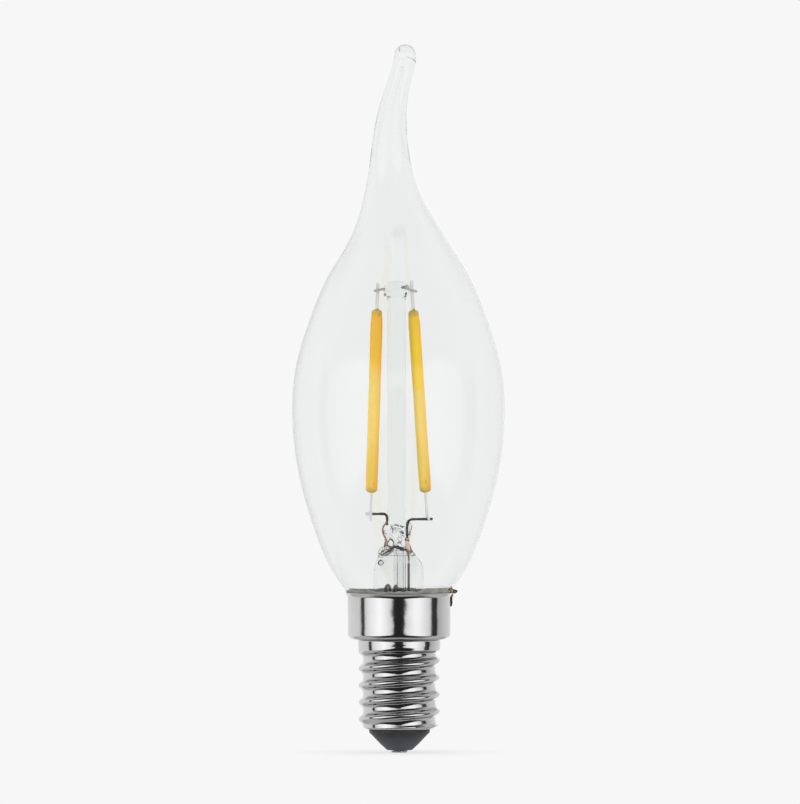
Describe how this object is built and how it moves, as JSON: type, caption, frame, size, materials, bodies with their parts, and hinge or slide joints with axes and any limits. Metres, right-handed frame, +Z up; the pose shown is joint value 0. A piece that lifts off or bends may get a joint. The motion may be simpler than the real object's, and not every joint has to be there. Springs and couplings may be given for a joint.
{
  "type": "candle bulb",
  "caption": "Clear glass candle bulb with a bent flame tip, two filament light rods on a glass stem and a small Edison screw cap with black insulator",
  "frame": {"origin": "middle of the flat underside of the centre contact, on the axis of the screw cap", "axes": "+Z up the cap axis towards the tip of the glass, +X right in the picture, front of the bulb towards -Y; the flame tip bends in the XZ plane"},
  "size_m": [0.0355, 0.0354, 0.118],
  "materials": {
    "clear_glass": "clear blown glass, fire polished",
    "stem_glass": "clear lead-free stem glass",
    "nickel_wire": "dark nickel-iron wire",
    "copper_clad_wire": "copper-clad seal wire under glass",
    "dark_wire": "dark oxidised wire",
    "nickelled_sheet": "bright nickel plate, rolled",
    "black_glass": "black glass, slightly dull",
    "contact_metal": "bare tinned contact",
    "solder": "tin solder",
    "cement": "cured capping cement, taupe",
    "board_laminate": "white board laminate",
    "chip_plastic": "moulded chip body",
    "capacitor_can": "sleeved can",
    "resistor_coat": "lacquered resistor",
    "phosphor_silicone": "yellow phosphor silicone, satin",
    "strip_ceramic": "white ceramic strip",
    "chip_crystal": "small crystal dies",
    "tab_steel": "plated steel tab"
  },
  "bodies": {
    "root": {"bridge_rectifier": "chip_plastic", "bridge_wire": "nickel_wire", "cap_insulator": "black_glass", "capping_cement": "cement", "centre_contact": "contact_metal", "centre_wire": "dark_wire", "contact_solder": "solder", "driver_board": "board_laminate", "driver_chip": "chip_plastic", "exhaust_tube": "stem_glass", "fuse_resistor": "resistor_coat", "glass_envelope": "clear_glass", "left_filament_chips": "chip_crystal", "left_filament_coating": "phosphor_silicone", "left_filament_foot_tab": "tab_steel", "left_filament_strip": "strip_ceramic", "left_filament_top_tab": "tab_steel", "left_inner_lead": "nickel_wire", "left_outer_lead": "dark_wire", "left_seal_wire": "copper_clad_wire", "right_filament_chips": "chip_crystal", "right_filament_coating": "phosphor_silicone", "right_filament_foot_tab": "tab_steel", "right_filament_strip": "strip_ceramic", "right_filament_top_tab": "tab_steel", "right_inner_lead": "nickel_wire", "right_outer_lead": "dark_wire", "right_seal_wire": "copper_clad_wire", "rim_solder": "solder", "screw_shell": "nickelled_sheet", "shell_wire": "dark_wire", "smoothing_capacitor": "capacitor_can", "stem_column": "stem_glass", "stem_flare": "stem_glass"}
  },
  "joints": []
}
